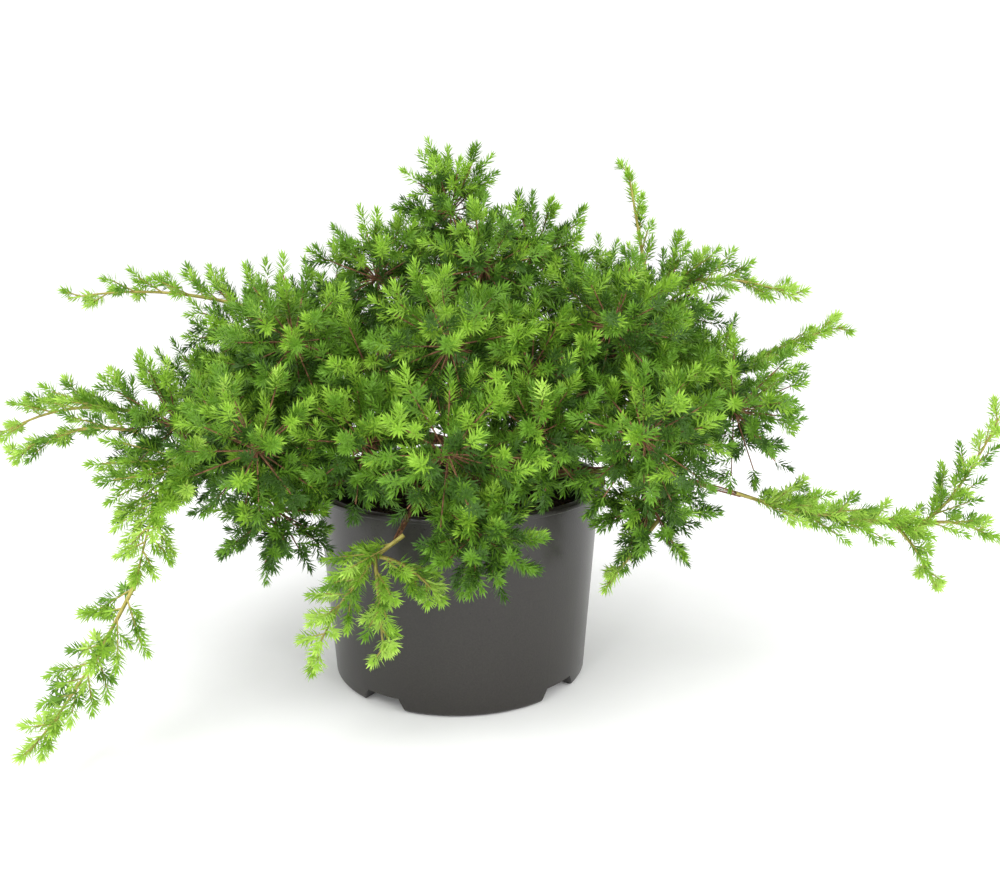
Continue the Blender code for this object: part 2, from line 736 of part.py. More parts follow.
def trunk_stem_piece(owner, root_height, centre):
    """A mass's own limb, from the trunk into its core."""
    start, out = seat_on_trunk(root_height, centre, STEM_RADIUS * 1.3)
    path = limb_path(start, out, centre, 7)
    path[1] = start + out * (path[1] - start).length * 0.7
    radii = [lerp(STEM_RADIUS * 1.3, STEM_RADIUS * 0.8, n / 6) for n in range(7)]
    for a, b in zip(path, path[1:]):
        take(owner, a, b, STEM_RADIUS * 1.3)
    return tube(path, radii, 4)


def make_plant(bark, foliage, fresh):
    rng = random.Random(SEED)
    cells = lay_out_cushions(rng)
    pieces = {name: [] for name in [*cells, *OWN_PLUMES]}
    for name, cell in cells.items():
        if cell["tier"] in ("skirt", "low"):
            inward = Vector((-cell["centre"].x, -cell["centre"].y, 0)).normalized()
            drop = -0.35 if cell["tier"] == "skirt" else 0.25
            end = cell["centre"] + (inward + Vector((0, 0, drop))).normalized() * cell["radius"]
            bough = name.replace("mass", "bough")
            direction = make_bough(bough, cell["root"], end, bark)
            pieces[name].append(stem_piece(name, end, direction, cell["centre"]))
        elif cell["tier"] == "spire":
            tip = trunk_centre(TRUNK_TIP.z)
            pieces[name].append(stem_piece(name, tip, Vector((0, 0, 1)), cell["centre"]))
        else:
            pieces[name].append(trunk_stem_piece(name, cell["root"], cell["centre"]))
        heart = cell["size"] * CORE_SHARE
        reach = max(heart.z - heart.x, 0)
        take(name, cell["centre"] - Vector((0, 0, reach)), cell["centre"] + Vector((0, 0, reach)),
             heart.x * 1.08)
    for name, plan in OWN_PLUMES.items():
        bough = name.replace("mass", "bough")
        end = Vector(plan["entry"])
        direction = make_bough(bough, plan["heading_root"], end, bark)
        joint = [end + direction * GAP, end + direction * 4 * STEM_RADIUS]
        pieces[name].append(tube(joint, [STEM_RADIUS * 1.1] * 2, 4))
        first = dict(plan["branches"][0], root=tuple(end + direction * 3 * STEM_RADIUS))
        for branch in (first, *plan["branches"][1:]):
            pieces[name] += plume_pieces(name, branch, rng)
    for plume in PLUMES:
        name = plume["mass"]
        anchor = cells[name]["centre"]
        root = Vector(plume["root"])
        pieces[name].append(tube([anchor, root], [LEADER_RADIUS, LEADER_RADIUS], 3))
        take(name, anchor, root, LEADER_RADIUS)
        pieces[name] += plume_pieces(name, plume, rng)
    for name, cell in cells.items():
        pieces[name] += cushion_pieces(name, cell, cell["sprays"], cells, rng)
    for name, parts in pieces.items():
        join(name, parts, fresh if name in OWN_PLUMES else foliage)


def main():
    clear_scene()
    pot_plastic = finish("pot plastic", (0.045, 0.042, 0.040), 0.38)
    potting_soil = finish("potting soil", (0.045, 0.030, 0.020), 0.95)
    bark = finish("bark", (0.28, 0.13, 0.07), 0.85)
    foliage = finish("foliage", (0.10, 0.26, 0.04), 0.6)
    fresh = finish("fresh foliage", (0.24, 0.42, 0.07), 0.6)
    make_pot(pot_plastic)
    make_soil(potting_soil)
    make_trunk(bark)
    make_plant(bark, foliage, fresh)


main()
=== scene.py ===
# %% [markdown]
# # A dwarf juniper in its nursery pot
# A low, spreading juniper in a plastic nursery pot. The solids of the pot, soil, trunk,
# boughs and foliage masses are loaded as a fixed frame, and the steps below dress them: bark
# on the limbs, twigs and needles in place of the masses, plastic on the pot.

# %% Load the frame
import math
import random

import bmesh
import bpy
import numpy as np
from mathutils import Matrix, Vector, noise


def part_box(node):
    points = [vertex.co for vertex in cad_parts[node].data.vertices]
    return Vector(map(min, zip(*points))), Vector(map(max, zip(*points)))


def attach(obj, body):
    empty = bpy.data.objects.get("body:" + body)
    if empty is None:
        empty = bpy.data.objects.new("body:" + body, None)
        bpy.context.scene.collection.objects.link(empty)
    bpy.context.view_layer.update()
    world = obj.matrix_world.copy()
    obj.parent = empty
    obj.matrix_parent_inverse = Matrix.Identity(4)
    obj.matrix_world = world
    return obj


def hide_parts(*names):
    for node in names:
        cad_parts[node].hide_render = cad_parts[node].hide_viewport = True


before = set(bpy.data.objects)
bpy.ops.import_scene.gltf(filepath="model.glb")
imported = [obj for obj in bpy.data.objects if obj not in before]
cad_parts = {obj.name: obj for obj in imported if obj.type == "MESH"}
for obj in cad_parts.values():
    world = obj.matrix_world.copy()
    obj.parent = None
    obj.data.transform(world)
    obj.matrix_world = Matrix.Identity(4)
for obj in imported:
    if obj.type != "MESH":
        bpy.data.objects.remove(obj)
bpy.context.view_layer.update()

SEED = 11
rng = random.Random(SEED)


def put_in_scene(name, data):
    """An object that shows the data, linked to the scene."""
    item = bpy.data.objects.new(name, data)
    bpy.context.scene.collection.objects.link(item)
    return item


# %% [markdown]
# ## One fine grain for many surfaces
# Plastic, soil and bark all have a fine unevenness. It is one node group with a scale and a
# strength, placed in each material with its own values, so that a change to it reaches all
# of them. It gives a mask for colours and roughness, and a normal for relief. The needles
# take only its mask, for their roughness, because a needle is too thin to show relief.

# %% Fine grain group
GRAIN_DETAIL = 6.0


def build_fine_grain():
    group = bpy.data.node_groups.new("Fine grain", "ShaderNodeTree")
    for name, value in (("Scale", 200.0), ("Strength", 0.2), ("Distance", 0.0005)):
        socket = group.interface.new_socket(name=name, in_out="INPUT", socket_type="NodeSocketFloat")
        socket.default_value = value
    group.interface.new_socket(name="Mask", in_out="OUTPUT", socket_type="NodeSocketFloat")
    group.interface.new_socket(name="Normal", in_out="OUTPUT", socket_type="NodeSocketVector")
    nodes, links = group.nodes, group.links
    entry = nodes.new("NodeGroupInput")
    result = nodes.new("NodeGroupOutput")
    place = nodes.new("ShaderNodeTexCoord")
    pattern = nodes.new("ShaderNodeTexNoise")
    pattern.inputs["Detail"].default_value = GRAIN_DETAIL
    bump = nodes.new("ShaderNodeBump")
    links.new(place.outputs["Object"], pattern.inputs["Vector"])
    links.new(entry.outputs["Scale"], pattern.inputs["Scale"])
    links.new(entry.outputs["Strength"], bump.inputs["Strength"])
    links.new(entry.outputs["Distance"], bump.inputs["Distance"])
    links.new(pattern.outputs["Fac"], bump.inputs["Height"])
    links.new(pattern.outputs["Fac"], result.inputs["Mask"])
    links.new(bump.outputs["Normal"], result.inputs["Normal"])
    return group


fine_grain = build_fine_grain()
print("group", fine_grain.name, "with", len(fine_grain.nodes), "nodes")

# %% Materials
ROUGHNESS_SPREAD = 0.06
DARK_UP_TO = 0.3
LIGHT_FROM = 0.7


def finish(name, dark, light, roughness, scale, strength, specular=0.5, patterned=True):
    """A material whose colour runs from dark to light with the grain, or stays light."""
    material = bpy.data.materials.new(name)
    material.use_nodes = True
    nodes, links = material.node_tree.nodes, material.node_tree.links
    shader = nodes["Principled BSDF"]
    shader.inputs["Specular IOR Level"].default_value = specular
    grain = nodes.new("ShaderNodeGroup")
    grain.node_tree = fine_grain
    grain.inputs["Scale"].default_value = scale
    grain.inputs["Strength"].default_value = strength
    rough = nodes.new("ShaderNodeMapRange")
    rough.inputs["To Min"].default_value = roughness - ROUGHNESS_SPREAD
    rough.inputs["To Max"].default_value = roughness + ROUGHNESS_SPREAD
    links.new(grain.outputs["Mask"], rough.inputs["Value"])
    links.new(rough.outputs["Result"], shader.inputs["Roughness"])
    shader.inputs["Base Color"].default_value = (*light, 1.0)
    if patterned:
        ramp = nodes.new("ShaderNodeValToRGB")
        ramp.color_ramp.elements[0].position = DARK_UP_TO
        ramp.color_ramp.elements[0].color = (*dark, 1.0)
        ramp.color_ramp.elements[1].position = LIGHT_FROM
        ramp.color_ramp.elements[1].color = (*light, 1.0)
        links.new(grain.outputs["Mask"], ramp.inputs["Fac"])
        links.new(ramp.outputs["Color"], shader.inputs["Base Color"])
        links.new(grain.outputs["Normal"], shader.inputs["Normal"])
    return material


POT_PLASTIC = finish("satin pot plastic", (0.016, 0.014, 0.012), (0.024, 0.021, 0.018),
                     roughness=0.30, scale=900, strength=0.10)
SOIL = finish("moist potting soil", (0.012, 0.008, 0.005), (0.07, 0.045, 0.028),
              roughness=0.9, scale=350, strength=0.9, specular=0.2)
BARK = finish("flaking brown bark", (0.10, 0.045, 0.025), (0.36, 0.18, 0.09),
              roughness=0.8, scale=420, strength=0.8, specular=0.3)
GREEN_TWIG = finish("young yellow stem", (0.30, 0.26, 0.05), (0.46, 0.40, 0.10),
                    roughness=0.6, scale=300, strength=0.3, specular=0.4)
# One green in several tones. The cushions pick deep, mid and bright partly by place, darker inside and
# below as painted shade and brighter outside and on top as painted light; the plumes pick them by age, and
# fresh is the yellower green of new growth.
NEEDLE_COLOURS = {
    "deep": (0.048, 0.122, 0.011),
    "mid": (0.130, 0.285, 0.020),
    "bright": (0.260, 0.470, 0.038),
    "fresh": (0.400, 0.620, 0.090),
}
NEEDLE_FINISHES = {}
for name, colour in NEEDLE_COLOURS.items():
    NEEDLE_FINISHES[name] = finish(name + " green needles", colour, colour, roughness=0.5,
                                   scale=500, strength=0.0, specular=0.35, patterned=False)
print(len(bpy.data.materials), "materials")

# %% [markdown]
# ## The layout of the crown
# The crown is a mound of rounded cushions round a spire. They stand in tiers, each tier an
# oval ring that is a little higher at its right. Their places are the same as in the solids,
# worked out again from the tiers' few sizes and the same random seed. The low cushions hang
# over the pot's lip.

# %% Tiers of cushions
SPIRE = dict(centre=(-0.004, 0.012, 0.297), size=(0.026, 0.026, 0.044))
TIERS = {
    "crown": dict(count=4, first=20, reach=(0.052, 0.044), height=0.262, radius=0.036, root=0.205),
    "shoulder": dict(count=8, first=0, reach=(0.127, 0.100), height=0.229, radius=0.040, root=0.160),
    "skirt": dict(count=10, first=18, reach=(0.176, 0.140), height=0.176, radius=0.042, root=None),
}
TIER_TILT = 0.008
HEIGHT_SCATTER = 0.003
ROOT_STAGGER = 0.010
LOW_HEADINGS = (60, 150, 226, 276, 324)
LOW_REACH = (0.141, 0.134)
LOW_HEIGHT = 0.133
LOW_RADIUS = 0.030


def cushion(centre, size, root=None):
    """A cushion, with the height at which its limb leaves the trunk if it gets one here."""
    return dict(centre=Vector(centre), size=Vector(size), root=root)


def ring_place(plan, n, lift=0.0):
    angle = math.radians(plan["first"] + 360 * n / plan["count"])
    return (plan["reach"][0] * math.cos(angle), plan["reach"][1] * math.sin(angle),
            plan["height"] + TIER_TILT * math.cos(angle) + lift)


cushions = {"mass_spire": cushion(SPIRE["centre"], SPIRE["size"])}
for tier, plan in TIERS.items():
    for n in range(plan["count"]):
        centre = ring_place(plan, n, rng.uniform(-HEIGHT_SCATTER, HEIGHT_SCATTER))
        root = plan["root"] + ROOT_STAGGER * (n % 2) if plan["root"] else None
        cushions[f"mass_{tier}_{n + 1}"] = cushion(centre, [plan["radius"]] * 3, root)
for n, heading in enumerate(LOW_HEADINGS, 1):
    angle = math.radians(heading)
    centre = (LOW_REACH[0] * math.cos(angle), LOW_REACH[1] * math.sin(angle), LOW_HEIGHT)
    cushions[f"mass_low_{n}"] = cushion(centre, [LOW_RADIUS] * 3)
print(len(cushions), "cushions as in the solids")

# %% [markdown]
# ## Side growth
# Round cushions leave see-through gaps where they meet. On the real plant the limbs branch
# on their way out and fill them, so two more rings of cushions stand in the gaps. They are
# made here alone and have no solid of their own, because they only fill.

# %% Rings between the tiers
BETWEEN = (
    dict(count=8, first=22.5, reach=(0.116, 0.090), height=0.208, radius=0.036, root=0.170),
    dict(count=10, first=0.0, reach=(0.150, 0.118), height=0.178, radius=0.034, root=0.150),
)
for ring, plan in enumerate(BETWEEN, 1):
    for n in range(plan["count"]):
        centre = ring_place(plan, n)
        cushions[f"side_growth_{ring}_{n + 1}"] = cushion(centre, [plan["radius"]] * 3, plan["root"])
print(len(cushions), "cushions with the side growth")

# %% [markdown]
# ## Where the plumes grow
# New growth breaks out of the mound in long thin plumes. Each row below is one plume or a
# branch of one: where it starts, where it ends, how far its middle lifts, how many side
# shoots it has, and how long the longest is.

# %% Plumes
PLUMES = (
    # left, and upper left
    dict(root=(-0.190, -0.040, 0.178), tip=(-0.292, -0.030, 0.156), lift=0.012, shoots=13, longest=0.044),
    dict(root=(-0.195, -0.050, 0.170), tip=(-0.268, -0.050, 0.152), lift=0.008, shoots=9, longest=0.034),
    dict(root=(-0.140, 0.004, 0.240), tip=(-0.249, 0.010, 0.243), lift=0.006, shoots=12, longest=0.032),
    # upper right, upright, and right
    dict(root=(0.130, -0.004, 0.252), tip=(0.215, 0.000, 0.243), lift=0.008, shoots=11, longest=0.036),
    dict(root=(0.118, 0.006, 0.262), tip=(0.106, 0.010, 0.324), lift=0.000, shoots=7, longest=0.018),
    dict(root=(0.186, 0.036, 0.192), tip=(0.255, 0.030, 0.223), lift=0.004, shoots=11, longest=0.034),
    # hanging at the right of the pot
    dict(root=(0.116, -0.076, 0.118), tip=(0.092, -0.072, 0.082), lift=0.000, shoots=6, longest=0.022),
    # back
    dict(root=(0.120, 0.124, 0.180), tip=(0.188, 0.196, 0.150), lift=0.014, shoots=13, longest=0.040),
    dict(root=(-0.118, 0.124, 0.180), tip=(-0.164, 0.206, 0.176), lift=0.012, shoots=13, longest=0.040),
    dict(root=(0.004, 0.150, 0.180), tip=(0.012, 0.222, 0.134), lift=0.018, shoots=12, longest=0.038),
    # the drooping plume, in two lengths
    dict(root=(-0.150, -0.074, 0.158), tip=(-0.170, -0.128, 0.098), lift=0.020, shoots=24, longest=0.062),
    dict(root=(-0.170, -0.126, 0.102), tip=(-0.221, -0.162, 0.020), lift=-0.006, shoots=20, longest=0.038),
    # the long plume at the right, and its three branches
    dict(root=(0.176, -0.046, 0.128), tip=(0.300, -0.034, 0.107), lift=-0.006, shoots=28, longest=0.048),
    dict(root=(0.290, -0.035, 0.107), tip=(0.340, -0.030, 0.190), lift=-0.014, shoots=14, longest=0.032),
    dict(root=(0.272, -0.037, 0.107), tip=(0.301, -0.042, 0.066), lift=0.004, shoots=8, longest=0.022),
    dict(root=(0.296, -0.034, 0.107), tip=(0.338, -0.030, 0.096), lift=0.004, shoots=7, longest=0.022),
    # the clump in front of the pot
    dict(root=(-0.030, -0.122, 0.124), tip=(-0.078, -0.134, 0.054), lift=0.010, shoots=15, longest=0.042),
    dict(root=(-0.040, -0.128, 0.112), tip=(-0.036, -0.134, 0.064), lift=0.000, shoots=9, longest=0.028),
    dict(root=(-0.036, -0.126, 0.116), tip=(-0.006, -0.136, 0.098), lift=0.004, shoots=8, longest=0.026),
)
print(len(PLUMES), "plumes")

# %% [markdown]
# ## Bark
# Real bark here is thin, brown and flaking. The limbs' solids are too plain for it, so each
# is copied, cut finer, smoothed, and pushed in and out by a noise that is stretched along
# its height. A material alone would leave the outline straight.

# %% Limbs with the bark's relief
BARK_CUTS = 3
BARK_SMOOTHING = 0.5
BARK_SCALE = 420
BARK_STRETCH = 0.35
BARK_RELIEF = 0.0005


def bark_limb(node_name):
    """A finer copy of a limb's solid with an uneven surface."""
    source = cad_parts[node_name]
    shape = bmesh.new()
    shape.from_mesh(source.data)
    bmesh.ops.subdivide_edges(shape, edges=shape.edges, cuts=BARK_CUTS, use_grid_fill=True)
    bmesh.ops.smooth_vert(shape, verts=shape.verts, factor=BARK_SMOOTHING, use_axis_x=True,
                          use_axis_y=True, use_axis_z=True)
    shape.normal_update()
    for vertex in shape.verts:
        place = vertex.co * BARK_SCALE
        place.z *= BARK_STRETCH
        vertex.co += vertex.normal * noise.noise(place) * BARK_RELIEF
    mesh = bpy.data.meshes.new(node_name + "_bark")
    shape.to_mesh(mesh)
    shape.free()
    mesh.shade_smooth()
    mesh.materials.append(BARK)
    piece = put_in_scene(node_name + "_bark", mesh)
    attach(piece, "root")
    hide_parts(node_name)


limb_names = [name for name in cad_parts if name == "trunk" or name.startswith("bough")]
for node_name in limb_names:
    bark_limb(node_name)
print(len(limb_names), "limbs with bark")

# %% [markdown]
# ## Twigs and shoots
# A twig is a thin three-sided tube. A shoot is only noted down here, as its start, direction,
# length and colour, so that all the needles can be made at once later, which is far faster
# than making them one by one.

# %% Helpers for twigs and shoots
twigs = {"brown": [], "green": []}
shoots = {name: [] for name in NEEDLE_COLOURS}
TWIG_RADII = (0.0006, 0.0004)
LIMB_RADII = (0.0021, 0.0012)
PLUME_RADII = (0.0015, 0.0005)
GOLDEN_TURN = math.radians(137.5)
TOWARDS_LIGHT = Vector((0, 0, 0.25))
# How far a shoot's height and outwardness brighten its green: painted light on top and outside, painted
# shade inside and below.
PAINTED_LIGHT_GAIN = 0.35
COLOUR_LIMITS = ((0.22, "deep"), (0.72, "mid"), (1.22, "bright"))


def lerp(a, b, t):
    return a + (b - a) * t


def curve_point(start, middle, end, t):
    return start * (1 - t) ** 2 + middle * 2 * t * (1 - t) + end * t * t


def side_axes(direction):
    guide = Vector((0, 0, 1)) if abs(direction.z) < 0.9 else Vector((1, 0, 0))
    first = direction.cross(guide).normalized()
    return first, direction.cross(first)


def random_vector():
    return Vector((rng.uniform(-1, 1), rng.uniform(-1, 1), rng.uniform(-1, 1)))


def add_shoot(start, direction, length, colour):
    shoots[colour].append((*start, *direction.normalized(), length))


def shoot_colour(height_share, outer):
    """Green picked at random, with painted shade that makes it deeper inside and below and painted light
    that makes it brighter outside and on top.
    """
    # The random draw is raised on top and outside, as painted light, and lowered inside and below, as
    # painted shade.
    chance = rng.random() + PAINTED_LIGHT_GAIN * height_share + PAINTED_LIGHT_GAIN * outer - PAINTED_LIGHT_GAIN
    for limit, colour in COLOUR_LIMITS:
        if chance < limit:
            return colour
    return "fresh"


# %% [markdown]
# ## Cushions
# A cushion of this plant is a ball of short twigs that all start near its middle. The golden
# turn spreads their directions evenly over the ball, as it does the seeds of a sunflower,
# and a little scatter hides the rule. Each twig carries shoots along its outer part.

# %% Cushions of shoots
TWIGS_PER_CUSHION = 27
SHOOTS_PER_TWIG = 6
SHOOT_LENGTH = 0.0135
SHOOT_LENGTH_SHARES = (0.75, 1.1)
FILL_OUT = 1.17
TWIG_SCATTER = 0.2
TWIG_REACH = (0.70, 0.84)
TWIG_BEND = 0.35
FIRST_SHOOT = 0.30
SIDE_SCATTER = 0.85
END_SCATTER = 0.3


def grow_cushion(plan):
    centre, size = plan["centre"], plan["size"] * FILL_OUT
    spin = rng.uniform(0, 2 * math.pi)
    for n in range(TWIGS_PER_CUSHION):
        height = 1 - 2 * (n + 0.5) / TWIGS_PER_CUSHION
        flat = math.sqrt(1 - height * height)
        angle = n * GOLDEN_TURN + spin
        out = Vector((flat * math.cos(angle), flat * math.sin(angle), height))
        out += random_vector() * TWIG_SCATTER
        out.normalize()
        surface = Vector((out.x * size.x, out.y * size.y, out.z * size.z))
        tip = centre + surface * rng.uniform(*TWIG_REACH)
        twigs["brown"].append(([centre, centre + surface * TWIG_BEND, tip], *TWIG_RADII))
        for k in range(SHOOTS_PER_TWIG):
            share = rng.uniform(FIRST_SHOOT, 1.0) if k else 1.0
            start = lerp(centre, tip, share)
            spread = out + random_vector() * (SIDE_SCATTER if k else END_SCATTER) + TOWARDS_LIGHT
            colour = shoot_colour(out.z, share)
            add_shoot(start, spread, SHOOT_LENGTH * rng.uniform(*SHOOT_LENGTH_SHARES), colour)


for plan in cushions.values():
    grow_cushion(plan)
print("cushion shoots", sum(len(group) for group in shoots.values()))

# %% [markdown]
# ## Limbs inside the mound
# The crown and shoulder cushions and the side growth stand on thin limbs that only show
# through gaps between the needles. In the solids the upper cushions' stems are part of the
# masses, which the needles replace, so they are noted down again here as brown twigs from
# the trunk.

# %% Limbs of the upper cushions
TRUNK_TIP = Vector((-0.002, 0.012, 0.260))
LEAN_AT_ROOT = 0.5
LIMB_MIDDLE = 0.45
LIMB_RISE = 0.5
LIMB_START = 0.05
LIMB_POINTS = 9

hung = [plan for plan in cushions.values() if plan["root"] is not None]
for plan in hung:
    start = Vector((TRUNK_TIP.x * LEAN_AT_ROOT, TRUNK_TIP.y * LEAN_AT_ROOT, plan["root"]))
    middle = lerp(start, plan["centre"], LIMB_MIDDLE)
    middle.z = lerp(start.z, plan["centre"].z, LIMB_RISE)
    steps = np.linspace(LIMB_START, 1, LIMB_POINTS)
    path = [curve_point(start, middle, plan["centre"], t) for t in steps]
    twigs["brown"].append((path, *LIMB_RADII))
print(len(hung), "inner limbs")

# %% [markdown]
# ## Plumes
# A plume is a long young stem with shoots on both sides that get shorter to its tip, the
# way the plant throws new growth out of its cushions. Each side shoot is a short stem with
# needled shoots along it. The stem is a curve through three points, because it is smooth and
# easy to aim, and it starts 6 mm before its root, to lap over what it grows from. On the
# clump in front of the pot this lap shows as a short stub beside the bough.

# %% Plumes of shoots
STEM_LAP = 0.006
STEM_POINTS = 12
SIDE_SHOOTS_FROM = 0.03
SIDE_SHOOTS_TO = 0.92
SIDE_TURN_SCATTER = 0.6
SIDE_HEIGHT_SCATTER = 0.8
SIDE_ANGLES = (34, 52)
LAST_SIDE_LENGTH = 0.011
SIDE_LENGTH_SHARES = (0.8, 1.0)
SIDE_STEM_SHARE = 0.85
SIDE_SHOOT_STEP = 0.0075
SIDE_SHOOT_LENGTH = 0.010
SIDE_SHOOT_SHARE = 0.6
ALONG_SCATTER = 0.55
TIP_SCATTER = 0.15
YOUNG_FROM = 0.6
OLDER_COLOURS = ("bright", "bright", "mid", "fresh")
YOUNG_COLOURS = ("fresh", "fresh", "bright")


def grow_side_shoot(place, heading, length, t):
    """A short stem with needled shoots along it, at the share t of its plume."""
    end = place + heading * length * SIDE_STEM_SHARE
    twigs["green"].append(([place, end], *TWIG_RADII))
    steps = max(1, round(length / SIDE_SHOOT_STEP))
    for k in range(steps):
        share = (k + 0.6) / steps
        colour = rng.choice(OLDER_COLOURS if t < YOUNG_FROM else YOUNG_COLOURS)
        turned = heading + random_vector() * (ALONG_SCATTER if k < steps - 1 else TIP_SCATTER)
        shoot_length = min(SIDE_SHOOT_LENGTH, length * SIDE_SHOOT_SHARE)
        add_shoot(lerp(place, end, share), turned, shoot_length, colour)


def grow_plume(plan):
    root, tip = Vector(plan["root"]), Vector(plan["tip"])
    middle = (root + tip) / 2 + Vector((0, 0, 2 * plan["lift"]))
    path = [curve_point(root, middle, tip, t) for t in np.linspace(0, 1, STEM_POINTS)]
    path.insert(0, root - (path[1] - root).normalized() * STEM_LAP)
    twigs["green"].append((path, *PLUME_RADII))
    end_run = path[-1] - path[-3]
    add_shoot(path[-3], end_run, end_run.length, "fresh")
    last = plan["shoots"] - 1
    for n in range(plan["shoots"]):
        t = lerp(SIDE_SHOOTS_FROM, SIDE_SHOOTS_TO, n / last)
        place = curve_point(root, middle, tip, t)
        along = ((middle - root) * (1 - t) + (tip - middle) * t).normalized()
        first, second = side_axes(along)
        turn = n * math.pi + rng.uniform(-SIDE_TURN_SCATTER, SIDE_TURN_SCATTER)
        height = rng.uniform(-SIDE_HEIGHT_SCATTER, SIDE_HEIGHT_SCATTER)
        side = math.cos(turn) * first + second * height + TOWARDS_LIGHT
        spread = math.radians(rng.uniform(*SIDE_ANGLES))
        heading = along * math.cos(spread) + side.normalized() * math.sin(spread)
        length = lerp(plan["longest"], LAST_SIDE_LENGTH, n / last) * rng.uniform(*SIDE_LENGTH_SHARES)
        grow_side_shoot(place, heading, length, t)


for plan in PLUMES:
    grow_plume(plan)
print("all shoots", {name: len(group) for name, group in shoots.items()})

# %% [markdown]
# ## Needles
# A juniper's needle is short, stiff and pointed, and stands out from its shoot. Here it is a
# folded blade of four triangles, so that it never vanishes edge on and catches light along
# its fold. All needles of one colour are worked out as arrays from their shoots, and cut
# into pieces that stay a reasonable size.

# %% Needles from the noted shoots
NEEDLES_PER_SHOOT = 30
NEEDLE_LENGTH = 0.0070
NEEDLE_LENGTH_SHARES = (0.8, 1.1)
TIP_SHORTENING = 0.35
NEEDLE_WIDTH = 0.00062
FOLD_SHARE = 0.5
WIDEST_AT = 0.35
SUNK_IN_STEM = 0.0002
OFF_STEM = 0.0003
NEEDLED_SHARE = 0.9
BASE_LEAN = 62
TIP_LEAN_LOSS = 42
LEAN_SCATTER = 8
TURN_SCATTER = 0.3
SMALLEST_LENGTH = 1e-9
BLADE = np.array([[0, 4, 1], [0, 2, 4], [1, 4, 3], [4, 2, 3]])
BLADE_POINTS = 5
NEEDLES_PER_PIECE = 46500
dice = np.random.default_rng(SEED)


def add_piece(name, points, faces, material, replaced):
    """A mesh from arrays, far faster than from lists of points and faces."""
    mesh = bpy.data.meshes.new(name)
    mesh.vertices.add(len(points))
    mesh.vertices.foreach_set("co", np.asarray(points, dtype=np.float32).ravel())
    mesh.loops.add(faces.size)
    mesh.loops.foreach_set("vertex_index", faces.astype(np.int32).ravel())
    mesh.polygons.add(len(faces))
    starts = np.arange(0, faces.size, faces.shape[1], dtype=np.int32)
    mesh.polygons.foreach_set("loop_start", starts)
    mesh.update(calc_edges=True)
    mesh.validate()
    mesh.materials.append(material)
    piece = put_in_scene(name, mesh)
    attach(piece, "root")
    if replaced:
        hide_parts(*replaced)
    print(name, len(faces), "faces")


def needle_arrays(group):
    """Base, direction, crosswise direction and length of every needle of some shoots."""
    rows = np.array(group)
    count = NEEDLES_PER_SHOOT
    start = np.repeat(rows[:, 0:3], count, axis=0)
    along = np.repeat(rows[:, 3:6], count, axis=0)
    length = np.repeat(rows[:, 6], count)
    order = np.tile(np.arange(count), len(rows))
    share = (order + dice.uniform(0, 1, len(order))) / count
    guide = np.where(np.abs(along[:, 2:3]) < 0.9, [[0.0, 0.0, 1.0]], [[1.0, 0.0, 0.0]])
    first = np.cross(along, guide)
    first /= np.linalg.norm(first, axis=1, keepdims=True)
    second = np.cross(along, first)
    turn = order * GOLDEN_TURN + dice.uniform(-TURN_SCATTER, TURN_SCATTER, len(order))
    out = np.cos(turn)[:, None] * first + np.sin(turn)[:, None] * second
    scatter = dice.uniform(-LEAN_SCATTER, LEAN_SCATTER, len(order))
    lean = np.radians(BASE_LEAN - TIP_LEAN_LOSS * share ** 2 + scatter)[:, None]
    heading = along * np.cos(lean) + out * np.sin(lean)
    base = start + along * (length * share * NEEDLED_SHARE)[:, None] + out * OFF_STEM
    shortened = NEEDLE_LENGTH * (1 - TIP_SHORTENING * share ** 3)
    size = shortened * dice.uniform(*NEEDLE_LENGTH_SHARES, len(order))
    return base, heading, np.cross(heading, out), size


def blade_points(base, heading, across, size):
    """Foot, two edges, tip and fold of every needle."""
    width = np.linalg.norm(across, axis=1, keepdims=True)
    across = across / np.maximum(width, SMALLEST_LENGTH)
    back = np.cross(heading, across)
    middle = base + heading * (size * WIDEST_AT)[:, None]
    points = np.stack([base - heading * SUNK_IN_STEM, middle + across * NEEDLE_WIDTH,
                       middle - across * NEEDLE_WIDTH, base + heading * size[:, None],
                       middle + back * NEEDLE_WIDTH * FOLD_SHARE], axis=1)
    return points.reshape(-1, 3)


def repeated(pattern, points_each, count):
    """The faces of one small shape, repeated for many copies of its points."""
    firsts = np.arange(count)[:, None, None] * points_each
    return (firsts + pattern[None]).reshape(-1, 3)


replaced_masses = [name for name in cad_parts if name.startswith("mass")]
for colour, group in shoots.items():
    base, heading, across, size = needle_arrays(group)
    for part, begin in enumerate(range(0, len(base), NEEDLES_PER_PIECE), 1):
        chosen = slice(begin, begin + NEEDLES_PER_PIECE)
        points = blade_points(base[chosen], heading[chosen], across[chosen], size[chosen])
        faces = repeated(BLADE, BLADE_POINTS, len(points) // BLADE_POINTS)
        add_piece(f"needles_{colour}_{part}", points, faces, NEEDLE_FINISHES[colour],
                  replaced_masses)

# %% [markdown]
# ## Twigs as tubes
# The noted twigs become tubes with three sides, which is enough for stems at most about 4 mm
# thick among needles. The axes of each ring come from those of the ring before it, so
# that a tube never twists on its way.

# %% Twigs from the noted paths
TWIG_SIDES = 3
TWIG_CORNERS = (0, 2.094, 4.189)


